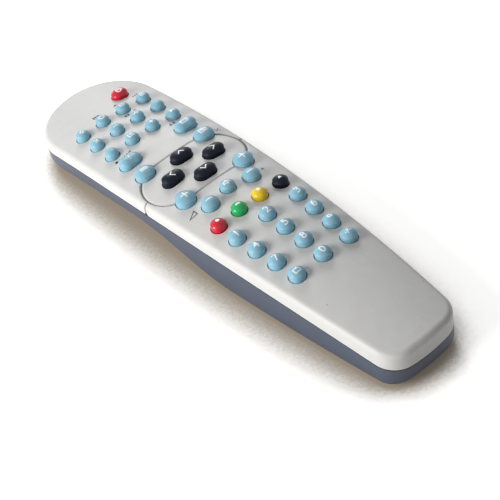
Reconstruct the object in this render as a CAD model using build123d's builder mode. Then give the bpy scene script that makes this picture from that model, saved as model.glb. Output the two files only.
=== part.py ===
"""TV remote control: an arched hand-held case with forty-two sprung keys."""
from build123d import *
from math import atan2, cos, degrees, radians, sin, sqrt
import os

os.makedirs("parts", exist_ok=True)

# The frame: origin under the middle of the case, on the surface it rests on.
# +X is the right edge with the numbers upright, +Y points to the head, +Z is up.

# Plan outline
LENGTH = 215.0
HEAD_Y = LENGTH / 2
TAIL_Y = -LENGTH / 2
WIDTH = 53.0
HEAD_END_R = 34.0
HEAD_CORNER_R = 22.0
SIDE_TAPER_Y = 60.0
SIDE_R = 1400.0
TAIL_END_R = 70.0
TAIL_CORNER_R = 10.0

# Side profile
TOP_Z = 25.4
ARCH_R = 815.0
CROWN_R = 108.0
SEAM_DROP = 7.9
SEAM_GAP = 0.25
EDGE_R = 2.4
BELLY_END_Y = -17.0
REST_Y = 20.0
UNDER_TOP_Z = 9.4
UNDER_TOP_Y = -25.0
UNDER_R = 1000.0
UNDER_BLEND_R = 90.0
TAIL_RISE_LENGTH = 9.5
TAIL_RISE_R = 14.0
BELLY_EDGE_R = 5.0

# Walls and the lip that joins the shells
WALL = 1.8
LIP_THICK = 0.8
LIP_RISE = 1.2
FIT = 0.12
PLAY = 0.3

# Where the covers meet, and the oval plate round the arrow keys
SPLIT_Y = 19.0
SPLIT_GAP = 0.25
OVAL_STRAIGHT = 20.6
OVAL_R = 13.3
OVAL_GAP = 0.15
OVAL_GROOVE = 0.4
OVAL_LIP = 0.9
OVAL_RIM = 1.1
OVAL_LIP_THICK = 1.0

# Keys
KEY_TRAVEL = 0.7
KEY_RISE = 3.4
KEY_DOME = 1.5
KEY_GAP = 0.35
EAR_REACH = 0.8
EAR_WIDTH = 2.6
EAR_THICK = 0.6
EAR_UNDER = 0.15
PLUNGER = 3.0
PILL_GAP = 0.15
SMALL_R = 3.0
NUMBER_R = 3.25
COLOUR_R = 3.1
PLUS_R = 4.1
MINUS_R = 3.55
ARROW_R = 3.05
ARROW_HALF = 1.75
WIDE_R = 3.2
WIDE_HALF = 1.8
BROAD_R = 3.75
BROAD_HALF = 0.5
POWER_HALF = 0.7

# Key places
HEAD_ROW_Y = 74.6
HEAD_ROW_PITCH = 10.72
HEAD_SPAN = 32.0
POWER_X = 11.5
POWER_Y = 85.8
WIDE_X = 14.3
WIDE_Y = 42.5
BROAD_X = 15.2
BROAD_Y = 31.3
ARROW_X = 10.4
ARROW_Y = 7.7
PLUS_X = 14.7
PLUS_Y = 5.8
MINUS_X = 10.4
MINUS_Y = -4.2
MUTE_Y = -2.4
COLOUR_X = 10.4
COLOUR_Y = -15.3
NUMBER_X = 15.25
NUMBER_Y = -25.5
NUMBER_PITCH = 10.03
NUMBER_TAPER = 0.82

# Circuit board and key mat
BOARD_TOP = 15.2
BOARD_THICK = 1.0
BOARD_WIDTH = 38.4
BOARD_HEAD_INSET = 14.5
BOARD_TAIL_INSET = 46.0
BOARD_HEAD_Y = HEAD_Y - BOARD_HEAD_INSET
BOARD_TAIL_Y = TAIL_Y + BOARD_TAIL_INSET
MAT_THICK = 0.5
MAT_MARGIN = 0.5

# Cells and their bay
CELL_R = 5.25
CELL_LENGTH = 43.3
CELL_NUB = 1.2
CELL_NUB_R = 1.9
CELL_X = 5.6
CELL_Z = 7.4
BAY_WIDTH = 23.8
BAY_INSET = 12.0
BAY_LENGTH = 50.5
BAY_TAIL_Y = TAIL_Y + BAY_INSET
BAY_HEAD_Y = BAY_TAIL_Y + BAY_LENGTH
BAY_WALL = 2.0
BAY_TOP = 12.9
BAY_ROOF = 1.1

# Door in the belly
DOOR_WIDTH = 24.4
DOOR_HEAD_LAP = 1.2
DOOR_TAIL_LAP = 1.5
DOOR_HEAD_Y = BAY_HEAD_Y + DOOR_HEAD_LAP
DOOR_TAIL_Y = BAY_TAIL_Y - DOOR_TAIL_LAP
DOOR_THICK = 1.6
DOOR_GAP = 0.25
DOOR_CORNER = 2.0
TONGUE_X = 9.5
TONGUE_WIDTH = 3.4
TONGUE_REACH = 2.4
TONGUE_Z = 2.2
TONGUE_THICK = 1.1
CONTACT_THICK = 0.4
CONTACT_GAP = 0.1
CONTACT_WIDTH = 6.0
CONTACT_STRIP = 2.0
LUG_WIDTH = 3.0
LEAF_BEND = 0.6
LATCH_WIDTH = 6.0
LATCH_THICK = 1.0
LATCH_LENGTH = 7.0
LATCH_SLIT = 0.6
LATCH_TOP = 4.2
LATCH_ROOM = 1.6
TONGUE_ROOM = 5.0
GRIPS = 4
GRIP_PITCH = 2.0
GRIP_WIDTH = 12.0
GRIP_DEPTH = 0.5

# Screws
HEAD_SCREW_INSET = 20.0
TAIL_SCREW_INSET = 35.5
TAIL_SCREW_X = 15.0
SCREWS = [(0, HEAD_Y - HEAD_SCREW_INSET), (TAIL_SCREW_X, TAIL_Y + TAIL_SCREW_INSET),
          (-TAIL_SCREW_X, TAIL_Y + TAIL_SCREW_INSET)]
SCREW_HEAD_R = 1.9
SCREW_HEAD = 1.5
SCREW_R = 1.0
SCREW_GAP = 0.15
SCREW_SLOT = 0.5
SCREW_DEPTH = 3.5
SCREW_BITE = 5.0
POST_R = 3.0
BOSS_R = 2.2

# Window and lamp at the head
WINDOW_WIDTH = 16.0
WINDOW_HEIGHT = 4.6
LAMP_R = 2.5
LAMP_LENGTH = 8.6
LAMP_INSET = 3.9
LAMP_FRONT_Y = HEAD_Y - LAMP_INSET
LAMP_Z = 12.6
LAMP_LEG = 0.5
LAMP_LEG_X = 1.27

# Parts under the board, and the posts that carry it
BOARD_POSTS = [(14.0, 34.0), (12.5, 76.0), (15.5, -22.0)]
BOARD_POST_R = 1.5
CHIP_LENGTH = 17.9
CHIP_WIDTH = 7.5
CHIP_HEIGHT = 2.1
CHIP_LIFT = 0.2
CHIP_Y = 22.0
CHIP_LEGS = 10
CHIP_PITCH = 1.27
CHIP_PIN = 0.4
CHIP_FOOT = 1.2
RESONATOR_PLACE = (8.0, 42.0)
RESONATOR_LENGTH = 7.5
RESONATOR_WIDTH = 3.0
RESONATOR_HEIGHT = 3.5
CAPACITOR_PLACE = (-6.0, 60.0)
CAPACITOR_R = 2.5
CAPACITOR_LENGTH = 7.0

# Longer than any cut needs
BIG = 60.0


def arc_point(centre, radius, angle):
    """The point at an angle in degrees on a circle in the plan."""
    return (centre[0] + radius * cos(radians(angle)), centre[1] + radius * sin(radians(angle)))


def circles_meet(first, first_r, second, second_r):
    """The lower of the two points where two circles in the plan cross."""
    across = (second[0] - first[0], second[1] - first[1])
    apart = sqrt(across[0] ** 2 + across[1] ** 2)
    along = (first_r ** 2 - second_r ** 2 + apart ** 2) / (2 * apart)
    aside = sqrt(first_r ** 2 - along ** 2)
    unit = (across[0] / apart, across[1] / apart)
    foot = (first[0] + along * unit[0], first[1] + along * unit[1])
    sides = [(foot[0] + s * aside * unit[1], foot[1] - s * aside * unit[0]) for s in (1, -1)]
    return min(sides, key=lambda point: point[1])


def angle_to(start, end):
    """The direction in degrees from one point in the plan to another."""
    return degrees(atan2(end[1] - start[1], end[0] - start[0]))


def plan_face(inset=0.0):
    """The case seen from above: tangent arcs from head to tail."""
    half = WIDTH / 2
    head = (0, HEAD_Y - HEAD_END_R)
    reach = HEAD_END_R - HEAD_CORNER_R
    corner_x = half - HEAD_CORNER_R
    corner = (corner_x, head[1] + sqrt(reach ** 2 - corner_x ** 2))
    side = (half - SIDE_R, SIDE_TAPER_Y)
    tail = (0, TAIL_Y + TAIL_END_R)
    tail_corner = circles_meet(side, SIDE_R - TAIL_CORNER_R, tail, TAIL_END_R - TAIL_CORNER_R)
    head_turn = angle_to(head, corner)
    side_turn = angle_to(side, tail_corner)
    tail_turn = angle_to(tail, tail_corner)
    arcs = [
        (head, HEAD_END_R, 90, head_turn),
        (corner, HEAD_CORNER_R, head_turn, 0),
        (side, SIDE_R, 0, side_turn),
        (tail_corner, TAIL_CORNER_R, side_turn, tail_turn),
        (tail, TAIL_END_R, tail_turn, -90),
    ]
    with BuildSketch() as plan:
        with BuildLine():
            for centre, radius, start, end in arcs:
                CenterArc(centre, radius - inset, start, end - start)
            Line((half - inset, corner[1]), (half - inset, SIDE_TAPER_Y))
            mirror(about=Plane.YZ)
        make_face()
    return plan.sketch


def arch_height(y, drop=0.0):
    """Height of the arch over the middle line, or of one parallel to it below."""
    return TOP_Z - ARCH_R + sqrt((ARCH_R - drop) ** 2 - y ** 2)


def top_height(x, y, drop=0.0):
    """Height of the arched and crowned top face, or of one parallel to it below."""
    rise = ARCH_R - CROWN_R + sqrt((CROWN_R - drop) ** 2 - x ** 2)
    return TOP_Z - ARCH_R + sqrt(rise ** 2 - y ** 2)


def under_top(drop):
    """Everything below the arched and crowned top face, moved down by a drop."""
    swing = degrees(LENGTH / ARCH_R) * 0.6
    tilt = radians(swing)
    centre = (0, 0, TOP_Z - ARCH_R)
    start = Plane(origin=centre, x_dir=(1, 0, 0), z_dir=(0, -cos(tilt), -sin(tilt)))
    radius = CROWN_R - drop
    reach = WIDTH * 0.7
    edge = ARCH_R - CROWN_R + sqrt(radius ** 2 - reach ** 2)
    with BuildPart() as form:
        with BuildSketch(start):
            with BuildLine():
                ThreePointArc((-reach, edge), (0, ARCH_R - drop), (reach, edge))
                Polyline((reach, edge), (reach, ARCH_R - BIG), (-reach, ARCH_R - BIG), (-reach, edge))
            make_face()
        revolve(axis=Axis(centre, (-1, 0, 0)), revolution_arc=2 * swing)
    return form.part


def above_seam(rise):
    """Everything above the arched line where the covers meet the lower case."""
    drop = SEAM_DROP - rise
    with BuildPart() as form:
        with BuildSketch(Plane.YZ):
            with BuildLine():
                ThreePointArc((-LENGTH, arch_height(LENGTH, drop)), (0, arch_height(0, drop)),
                              (LENGTH, arch_height(LENGTH, drop)))
                Polyline((LENGTH, arch_height(LENGTH, drop)), (LENGTH, BIG), (-LENGTH, BIG),
                         (-LENGTH, arch_height(LENGTH, drop)))
            make_face()
        extrude(amount=BIG, both=True)
    return form.part


def is_at(vertex, place):
    """Whether a sketch's corner lies at a place in the sketch."""
    return abs(vertex.X - place[0]) < 0.01 and abs(vertex.Y - place[1]) < 0.01


def below_case(rise):
    """Everything below the underside: head arch, finger rest, belly and raised tail."""
    def rest_height(y):
        return UNDER_TOP_Z - (y - UNDER_TOP_Y) ** 2 / (2 * UNDER_R)
    far = LENGTH
    rest = (REST_Y, rest_height(REST_Y))
    middle = ((REST_Y + far) / 2, rest_height((REST_Y + far) / 2))
    tail_start = TAIL_Y + TAIL_RISE_LENGTH
    tail_far = (tail_start - TAIL_RISE_R, TAIL_RISE_R)
    tail_mid = arc_point((tail_start, TAIL_RISE_R), TAIL_RISE_R, -135)
    with BuildPart() as form:
        with BuildSketch(Plane.YZ) as profile:
            with BuildLine():
                ThreePointArc(tail_far, tail_mid, (tail_start, 0))
                Line((tail_start, 0), (BELLY_END_Y, 0))
                Line((BELLY_END_Y, 0), rest)
                ThreePointArc(rest, middle, (far, rest_height(far)))
                Polyline((far, rest_height(far)), (far, -BIG), (tail_far[0], -BIG), tail_far)
            make_face()
            bends = [v for v in profile.vertices() if is_at(v, rest) or is_at(v, (BELLY_END_Y, 0))]
            fillet(bends, radius=UNDER_BLEND_R)
        extrude(amount=BIG, both=True)
    return form.part.moved(Location((0, 0, rise)))


def cover_form(inset, drop, rise, edge_r):
    """The covers as one solid block: plan, top face, rounded edge, arched foot."""
    with BuildPart() as form:
        with BuildSketch():
            add(plan_face(inset))
        extrude(amount=BIG)
        add(under_top(drop), mode=Mode.INTERSECT)
        fillet(form.faces().sort_by(Axis.Z)[-1].edges(), radius=edge_r)
        add(above_seam(rise), mode=Mode.INTERSECT)
    return form.part


def case_form(inset, rise, edge_r, past_seam):
    """The lower case as one solid block up to near the seam, its bottom edge rounded."""
    with BuildPart() as form:
        with BuildSketch():
            add(plan_face(inset))
        extrude(amount=BIG / 2)
        add(below_case(rise), mode=Mode.SUBTRACT)
        low = [f for f in form.faces() if f.normal_at().Z < -0.5]
        seams = [e for f in low for e in f.edges()]
        rim = [e for e in seams if sum(1 for o in seams if o.is_same(e)) == 1]
        fillet(rim, radius=edge_r)
        add(above_seam(past_seam), mode=Mode.SUBTRACT)
    return form.part


def case_bottom(y):
    """Height of the underside on the middle line, away from its blends."""
    if y < REST_Y:
        return 0.0
    return UNDER_TOP_Z - (y - UNDER_TOP_Y) ** 2 / (2 * UNDER_R)


def seam_height(y):
    """Height of the seam between the covers and the lower case."""
    return arch_height(y, SEAM_DROP)


def key_list():
    """Every key: name, place in the plan, cap radius, half the straight in a long cap."""
    keys = [("key_power", POWER_X, POWER_Y, SMALL_R, POWER_HALF)]
    for row in range(3):
        for column, side in enumerate(("left", "inner_left", "inner_right", "right")):
            x = (column - 1.5) * HEAD_SPAN / 3
            keys.append((f"key_row{row + 1}_{side}", x, HEAD_ROW_Y - row * HEAD_ROW_PITCH, SMALL_R, 0))
    for side, sign in (("left", -1), ("right", 1)):
        keys.append((f"key_wide_{side}", sign * WIDE_X, WIDE_Y, WIDE_R, WIDE_HALF))
        keys.append((f"key_broad_{side}", sign * BROAD_X, BROAD_Y, BROAD_R, BROAD_HALF))
        keys.append((f"key_arrow_{side}", sign * ARROW_X, SPLIT_Y, ARROW_R, ARROW_HALF))
    keys.append(("key_arrow_up", 0, SPLIT_Y + ARROW_Y, ARROW_R, ARROW_HALF))
    keys.append(("key_arrow_down", 0, SPLIT_Y - ARROW_Y, ARROW_R, ARROW_HALF))
    for name, sign in (("volume", -1), ("program", 1)):
        keys.append((f"key_{name}_up", sign * PLUS_X, PLUS_Y, PLUS_R, 0))
        keys.append((f"key_{name}_down", sign * MINUS_X, MINUS_Y, MINUS_R, 0))
    keys.append(("key_mute", 0, MUTE_Y, COLOUR_R, 0))
    for column, colour in enumerate(("red", "green", "yellow", "blue")):
        keys.append((f"key_{colour}", (column - 1.5) * COLOUR_X, COLOUR_Y, COLOUR_R, 0))
    pads = (("1", "2", "3"), ("4", "5", "6"), ("7", "8", "9"), ("screen", "0", "page"))
    for row, names in enumerate(pads):
        pitch = NUMBER_X - row * NUMBER_TAPER
        for column, name in enumerate(names):
            y = NUMBER_Y - row * NUMBER_PITCH
            keys.append((f"key_{name}", (column - 1) * pitch, y, NUMBER_R, 0))
    return keys


KEYS = key_list()


def key_faces(grow, chosen=KEYS):
    """The outlines of the key caps, made larger all round."""
    with BuildSketch() as faces:
        for name, x, y, radius, half in chosen:
            with Locations((x, y)):
                if half:
                    SlotCenterToCenter(2 * half, 2 * (radius + grow))
                else:
                    Circle(radius + grow)
    return faces.sketch


def oval_face(grow):
    """The oval plate's outline, made larger all round."""
    with BuildSketch() as face:
        with Locations((0, SPLIT_Y)):
            SlotCenterToCenter(OVAL_STRAIGHT, 2 * (OVAL_R + grow))
    return face.sketch


def near_oval():
    """The keys whose caps or ears reach the oval plate."""
    chosen = []
    for key in KEYS:
        name, x, y, radius, half = key
        past = max(abs(x) - OVAL_STRAIGHT / 2 - half, 0)
        apart = sqrt(past ** 2 + (y - SPLIT_Y) ** 2)
        if apart < OVAL_R + OVAL_LIP + radius + EAR_REACH + PLAY:
            chosen.append(key)
    return chosen


OUTER = cover_form(0, 0, 0, EDGE_R)
INNER = cover_form(WALL, WALL, -LIP_RISE, EDGE_R - WALL)


def lip_block(inset, rise):
    """The space inside the lip's face, from under the case up to just over the seam."""
    with BuildPart() as block:
        with BuildSketch():
            add(plan_face(inset))
        extrude(amount=BIG)
        add(above_seam(rise), mode=Mode.SUBTRACT)
    return block.part


def box_between(low, high):
    """A solid box from its lowest to its highest corner."""
    size = [h - l for l, h in zip(low, high)]
    middle = [(h + l) / 2 for l, h in zip(low, high)]
    with BuildPart() as box:
        with Locations(tuple(middle)):
            Box(*size)
    return box.part


def post(x, y, radius, low, high):
    """An upright round post."""
    with BuildPart() as column:
        with BuildSketch(Plane.XY.offset(low)):
            with Locations((x, y)):
                Circle(radius)
        extrude(amount=high - low)
    return column.part


def cover(y_low, y_high, screws):
    """One top cover: its stretch of the shell, its edge round the oval, keyholes, bosses."""
    window_top = seam_height(HEAD_Y) + WINDOW_HEIGHT
    with BuildPart() as shell:
        add(OUTER)
        add(INNER, mode=Mode.SUBTRACT)
        add(lip_block(WALL - LIP_THICK - FIT, LIP_RISE + FIT), mode=Mode.SUBTRACT)
        with BuildSketch():
            with Locations((0, (y_low + y_high) / 2)):
                Rectangle(2 * WIDTH, y_high - y_low)
        extrude(amount=BIG, mode=Mode.INTERSECT)
        with BuildSketch():
            add(oval_face(0))
        extrude(amount=BIG, mode=Mode.SUBTRACT)
        rims = [e for e in shell.edges() if on_oval_arc(e, 0)]
        chamfer(rims, length=OVAL_GROOVE)
        for x, y in screws:
            add(post(x, y, BOSS_R, seam_height(y), top_height(x, y, WALL / 2)))
            hole_top = seam_height(y) + SCREW_BITE
            add(post(x, y, SCREW_R + FIT / 2, 0, hole_top), mode=Mode.SUBTRACT)
        with BuildSketch():
            add(key_faces(KEY_GAP, [k for k in KEYS if reaches(k, y_low, y_high)]))
        extrude(amount=BIG, mode=Mode.SUBTRACT)
        if y_high > HEAD_Y:
            reach = WINDOW_WIDTH / 2 + FIT
            add(box_between((-reach, HEAD_Y - 4 * WALL, 0), (reach, LENGTH, window_top + FIT)),
                mode=Mode.SUBTRACT)
    return shell.part


def reaches(key, y_low, y_high):
    """Whether a key's hole cuts a cover that runs between two cross lines."""
    name, x, y, radius, half = key
    return y + radius + KEY_GAP > y_low and y - radius - KEY_GAP < y_high


def on_oval_arc(edge, grow):
    """Whether an edge is an upper rim of the oval's round ends."""
    middle = edge.position_at(0.5)
    if abs(middle.X) < OVAL_STRAIGHT / 2 + 1:
        return False
    past = abs(middle.X) - OVAL_STRAIGHT / 2
    off = sqrt(past ** 2 + (middle.Y - SPLIT_Y) ** 2) - OVAL_R - grow
    high = middle.Z > top_height(middle.X, middle.Y) - EDGE_R / 2
    return abs(off) < 0.02 and high and edge.length > OVAL_R


head_cover = cover(SPLIT_Y + SPLIT_GAP / 2, LENGTH, SCREWS[:1])
head_cover.label = "head_cover"
export_step(head_cover, "parts/head_cover.step")

tail_cover = cover(-LENGTH, SPLIT_Y - SPLIT_GAP / 2, SCREWS[1:])
tail_cover.label = "tail_cover"
export_step(tail_cover, "parts/tail_cover.step")


def slab(face, top_drop, foot_drop):
    """A layer of a plan shape between two surfaces parallel to the arched top."""
    with BuildPart() as layer:
        with BuildSketch():
            add(face)
        extrude(amount=BIG)
        add(under_top(top_drop), mode=Mode.INTERSECT)
        add(under_top(foot_drop), mode=Mode.SUBTRACT)
    return layer.part


def oval_ring(grow):
    """The band from just inside the oval's edge outwards, clear of every key's ears."""
    with BuildSketch() as ring:
        add(oval_face(grow))
        add(oval_face(-OVAL_RIM), mode=Mode.SUBTRACT)
        add(key_faces(EAR_REACH + PLAY, near_oval()), mode=Mode.SUBTRACT)
        add(plan_face(WALL + 2 * PLAY), mode=Mode.INTERSECT)
    return ring.sketch


# Oval plate: skin, rim, and the lip that holds it up against the covers
lip_top = WALL + FIT
lip_foot = lip_top + OVAL_LIP_THICK
with BuildPart() as nav_plate:
    add(slab(oval_face(-OVAL_GAP), 0, WALL))
    chamfer([e for e in nav_plate.edges() if on_oval_arc(e, -OVAL_GAP)], length=OVAL_GROOVE)
    add(slab(oval_ring(-OVAL_GAP), WALL - FIT, lip_foot))
    add(slab(oval_ring(OVAL_LIP), lip_top, lip_foot))
    with BuildSketch():
        add(key_faces(KEY_GAP, near_oval()))
    extrude(amount=BIG, mode=Mode.SUBTRACT)
nav_plate.part.label = "nav_plate"
export_step(nav_plate.part, "parts/nav_plate.step")


def lip_form():
    """The block whose outside is the lip that stands up inside the covers' walls."""
    with BuildPart() as block:
        add(lip_block(WALL - LIP_THICK, LIP_RISE))
        add(above_seam(-LIP_RISE), mode=Mode.INTERSECT)
    return block.part


def door_face(grow):
    """The battery door's outline, made larger all round."""
    with BuildSketch() as face:
        with Locations((0, (DOOR_HEAD_Y + DOOR_TAIL_Y) / 2)):
            RectangleRounded(DOOR_WIDTH + 2 * grow, DOOR_HEAD_Y - DOOR_TAIL_Y + 2 * grow, DOOR_CORNER)
    return face.sketch


# Lower case: shell, lip, battery bay, board posts, screw posts
bay_reach = BAY_WIDTH / 2
bay_outer = bay_reach + BAY_WALL
bay_roof = BAY_TOP + BAY_ROOF
board_foot = BOARD_TOP - BOARD_THICK
stands = [(side * x, y) for x, y in BOARD_POSTS for side in (-1, 1)]
with BuildPart() as posts:
    for x, y in stands:
        add(post(x, y, BOARD_POST_R, case_bottom(y) + WALL / 2, board_foot))
    for x, y in SCREWS:
        add(post(x, y, POST_R, case_bottom(y) + WALL, seam_height(y) - SEAM_GAP))
    add(box_between((-bay_outer, BAY_TAIL_Y - BAY_WALL, WALL / 2),
                    (bay_outer, BAY_HEAD_Y + BAY_WALL, bay_roof)))

with BuildPart() as lower_case:
    add(case_form(0, 0, BELLY_EDGE_R, -SEAM_GAP))
    add(lip_form())
    add(case_form(WALL, WALL, BELLY_EDGE_R - WALL, 2 * LIP_RISE), mode=Mode.SUBTRACT)
    add(posts.part)
    for x, y in SCREWS:
        seat = case_bottom(y) + SCREW_DEPTH
        add(post(x, y, SCREW_R + SCREW_GAP, 0, BIG), mode=Mode.SUBTRACT)
        add(post(x, y, SCREW_HEAD_R + SCREW_GAP, -1, seat), mode=Mode.SUBTRACT)
    add(box_between((-bay_reach, BAY_TAIL_Y, -1), (bay_reach, BAY_HEAD_Y, BAY_TOP)), mode=Mode.SUBTRACT)
    with BuildSketch(Plane.XY.offset(-1)):
        add(door_face(DOOR_GAP))
    extrude(amount=1 + WALL, mode=Mode.SUBTRACT)
    for side in (-1, 1):
        low_x = side * TONGUE_X - TONGUE_WIDTH / 2 - PLAY
        high_x = side * TONGUE_X + TONGUE_WIDTH / 2 + PLAY
        add(box_between((low_x, BAY_TAIL_Y - 2 * BAY_WALL, WALL),
                        (high_x, BAY_TAIL_Y + BAY_WALL, TONGUE_ROOM)),
            mode=Mode.SUBTRACT)
        lug = side * CELL_X
        add(box_between((lug - LUG_WIDTH / 2 - FIT, BAY_HEAD_Y - CONTACT_THICK - FIT, BAY_TOP - 1),
                        (lug + LUG_WIDTH / 2 + FIT, BAY_HEAD_Y, BIG)), mode=Mode.SUBTRACT)
    add(box_between((-LATCH_WIDTH / 2 - PLAY, BAY_HEAD_Y - 1, WALL),
                    (LATCH_WIDTH / 2 + PLAY, DOOR_HEAD_Y + LATCH_ROOM, LATCH_TOP + PLAY)),
        mode=Mode.SUBTRACT)
lower_case.part.label = "lower_case"
export_step(lower_case.part, "parts/lower_case.step")

# Battery door: plate flush with the belly, tongues at the tail, sprung latch at the head
with BuildPart() as battery_door:
    with BuildSketch():
        add(door_face(0))
    extrude(amount=DOOR_THICK)
    for side in (-1, 1):
        low_x = side * TONGUE_X - TONGUE_WIDTH / 2
        high_x = side * TONGUE_X + TONGUE_WIDTH / 2
        add(box_between((low_x, DOOR_TAIL_Y - TONGUE_REACH, TONGUE_Z),
                        (high_x, DOOR_TAIL_Y + TONGUE_THICK, TONGUE_Z + TONGUE_THICK)))
        add(box_between((low_x, DOOR_TAIL_Y, DOOR_THICK / 2),
                        (high_x, DOOR_TAIL_Y + TONGUE_THICK, TONGUE_Z + TONGUE_THICK)))
    add(box_between((-LATCH_WIDTH / 2, DOOR_HEAD_Y - LATCH_THICK, DOOR_THICK / 2),
                    (LATCH_WIDTH / 2, DOOR_HEAD_Y, LATCH_TOP)))
    with Locations([(side * (LATCH_WIDTH / 2 + LATCH_SLIT), DOOR_HEAD_Y) for side in (-1, 1)]):
        Box(LATCH_SLIT, 2 * LATCH_LENGTH, 3 * DOOR_THICK, mode=Mode.SUBTRACT)
    with Locations([(0, DOOR_HEAD_Y - LATCH_LENGTH - (k + 1) * GRIP_PITCH) for k in range(GRIPS)]):
        Box(GRIP_WIDTH, GRIP_PITCH / 2, 2 * GRIP_DEPTH, mode=Mode.SUBTRACT)
battery_door.part.label = "battery_door"
export_step(battery_door.part, "parts/battery_door.step")

# Circuit board, with room for the head screw's boss
board_y = (BOARD_HEAD_Y + BOARD_TAIL_Y) / 2
head_screw = SCREWS[0]
with BuildPart() as circuit_board:
    with BuildSketch(Plane.XY.offset(board_foot)):
        add(plan_face(WALL + 2 * PLAY))
        with Locations((0, board_y)):
            Rectangle(BOARD_WIDTH, BOARD_HEAD_Y - BOARD_TAIL_Y, mode=Mode.INTERSECT)
        with Locations(head_screw):
            Circle(BOSS_R + PLAY, mode=Mode.SUBTRACT)
    extrude(amount=BOARD_THICK)
circuit_board.part.label = "circuit_board"
export_step(circuit_board.part, "parts/circuit_board.step")

# Silicone mat on the board: the sprung layer that the plungers press
mat_top = BOARD_TOP + MAT_THICK
with BuildPart() as keypad_mat:
    with BuildSketch(Plane.XY.offset(BOARD_TOP)):
        add(plan_face(WALL + 2 * PLAY + MAT_MARGIN))
        with Locations((0, board_y)):
            Rectangle(BOARD_WIDTH - 2 * MAT_MARGIN, BOARD_HEAD_Y - BOARD_TAIL_Y - 2 * MAT_MARGIN,
                      mode=Mode.INTERSECT)
        with Locations(head_screw):
            Circle(BOSS_R + PLAY, mode=Mode.SUBTRACT)
    extrude(amount=MAT_THICK)
keypad_mat.part.label = "keypad_mat"
export_step(keypad_mat.part, "parts/keypad_mat.step")

# Infrared window in the head's wall, and the lamp behind it
window_top = seam_height(HEAD_Y) + WINDOW_HEIGHT
with BuildPart() as ir_window:
    add(OUTER)
    add(INNER, mode=Mode.SUBTRACT)
    add(lip_block(WALL - LIP_THICK - FIT, LIP_RISE + FIT), mode=Mode.SUBTRACT)
    add(box_between((-WINDOW_WIDTH / 2, HEAD_Y - 4 * WALL, 0), (WINDOW_WIDTH / 2, LENGTH, window_top)),
        mode=Mode.INTERSECT)
ir_window.part.label = "ir_window"
export_step(ir_window.part, "parts/ir_window.step")

lamp_back = LAMP_FRONT_Y - LAMP_LENGTH
with BuildPart() as ir_lamp:
    with BuildSketch(Plane.YZ):
        with BuildLine():
            dome = LAMP_FRONT_Y - LAMP_R
            Polyline((dome, LAMP_Z + LAMP_R), (lamp_back, LAMP_Z + LAMP_R), (lamp_back, LAMP_Z),
                     (LAMP_FRONT_Y, LAMP_Z))
            CenterArc((dome, LAMP_Z), LAMP_R, 0, 90)
        make_face()
    revolve(axis=Axis((0, 0, LAMP_Z), (0, 1, 0)))
    leg_y = BOARD_HEAD_Y - 1
    for side in (-1, 1):
        x = side * LAMP_LEG_X
        half = LAMP_LEG / 2
        add(box_between((x - half, leg_y - half, LAMP_Z - half), (x + half, lamp_back + 1, LAMP_Z + half)))
        add(box_between((x - half, leg_y - half, LAMP_Z), (x + half, leg_y + half, board_foot)))
ir_lamp.part.label = "ir_lamp"
export_step(ir_lamp.part, "parts/ir_lamp.step")

# Controller chip, resonator and capacitor under the board
with BuildPart() as controller_chip:
    chip_top = board_foot - CHIP_LIFT
    add(box_between((-CHIP_LENGTH / 2, CHIP_Y - CHIP_WIDTH / 2, chip_top - CHIP_HEIGHT),
                    (CHIP_LENGTH / 2, CHIP_Y + CHIP_WIDTH / 2, chip_top)))
    chamfer(controller_chip.faces().sort_by(Axis.Z)[0].edges(), length=CHIP_LIFT)
    for k in range(CHIP_LEGS):
        x = (k - (CHIP_LEGS - 1) / 2) * CHIP_PITCH
        for side in (-1, 1):
            inner = CHIP_Y + side * CHIP_WIDTH / 2
            outer = inner + side * CHIP_FOOT
            low_y, high_y = sorted((inner - side * CHIP_LIFT, outer))
            add(box_between((x - CHIP_PIN / 2, low_y, board_foot - CHIP_LIFT - CHIP_PIN),
                            (x + CHIP_PIN / 2, high_y, board_foot)))
controller_chip.part.label = "controller_chip"
export_step(controller_chip.part, "parts/controller_chip.step")

with BuildPart() as resonator:
    with BuildSketch(Plane.XY.offset(board_foot - RESONATOR_HEIGHT)):
        with Locations(RESONATOR_PLACE):
            SlotOverall(RESONATOR_LENGTH, RESONATOR_WIDTH)
    extrude(amount=RESONATOR_HEIGHT)
resonator.part.label = "resonator"
export_step(resonator.part, "parts/resonator.step")

with BuildPart() as capacitor:
    x, y = CAPACITOR_PLACE
    with BuildSketch(Plane.XZ.offset(-y)):
        with Locations((x, board_foot - CAPACITOR_R)):
            Circle(CAPACITOR_R)
    extrude(amount=-CAPACITOR_LENGTH)
capacitor.part.label = "capacitor"
export_step(capacitor.part, "parts/capacitor.step")


def cell(x, toward):
    """One dry cell lying along Y, its nub toward the head (1) or the tail (-1)."""
    end = BAY_HEAD_Y if toward > 0 else BAY_TAIL_Y
    tip = end - toward * (CONTACT_THICK + CONTACT_GAP)
    shoulder = tip - toward * CELL_NUB
    foot = shoulder - toward * CELL_LENGTH
    with BuildPart() as body:
        with BuildSketch(Plane.YZ.offset(x)):
            with BuildLine():
                Polyline((tip, CELL_Z), (tip, CELL_Z + CELL_NUB_R), (shoulder, CELL_Z + CELL_NUB_R),
                         (shoulder, CELL_Z + CELL_R), (foot, CELL_Z + CELL_R), (foot, CELL_Z), close=True)
            make_face()
        revolve(axis=Axis((x, 0, CELL_Z), (0, 1, 0)))
    return body.part


battery_left = cell(-CELL_X, 1)
battery_left.label = "battery_left"
export_step(battery_left, "parts/battery_left.step")

battery_right = cell(CELL_X, -1)
battery_right.label = "battery_right"
export_step(battery_right, "parts/battery_right.step")


def contact_plate(x, end, inward):
    """A flat contact standing on an end wall of the bay, for a cell's nub."""
    low_y, high_y = sorted((end, end + inward * CONTACT_THICK))
    reach = CONTACT_WIDTH / 2
    return box_between((x - reach, low_y, CELL_Z - reach), (x + reach, high_y, CELL_Z + reach))


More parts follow.
